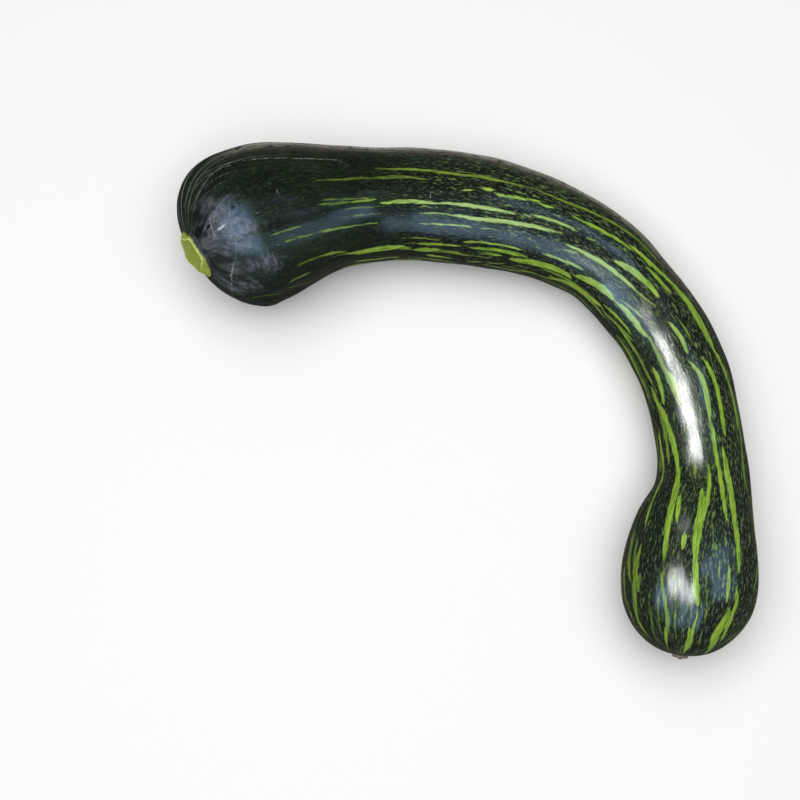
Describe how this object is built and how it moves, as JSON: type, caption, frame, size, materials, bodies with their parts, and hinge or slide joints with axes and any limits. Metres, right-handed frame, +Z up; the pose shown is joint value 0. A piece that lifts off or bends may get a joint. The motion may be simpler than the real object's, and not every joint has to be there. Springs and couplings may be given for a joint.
{
  "type": "long hooked squash",
  "caption": "Long green squash with a bulb at each end of a hooked neck, a cut stem stub and a blossom scar, lying on a flat surface.",
  "frame": {"origin": "on the surface that the squash lies on, below the middle of its bounding box", "axes": "+Z up; +X along the longer arm of the hook, from the stem end towards the bend; -Y along the shorter arm towards the blossom end"},
  "size_m": [0.374, 0.3379, 0.105],
  "materials": {
    "skin": "waxy near-black green squash skin with yellow-green streaks, semi-gloss",
    "stem": "fibrous yellow-green stem, satin, with an olive cut face",
    "scar": "dry brown cork, matte"
  },
  "bodies": {
    "root": {"fruit": "skin", "stem_stub": "stem", "blossom_scar": "scar"}
  },
  "joints": []
}
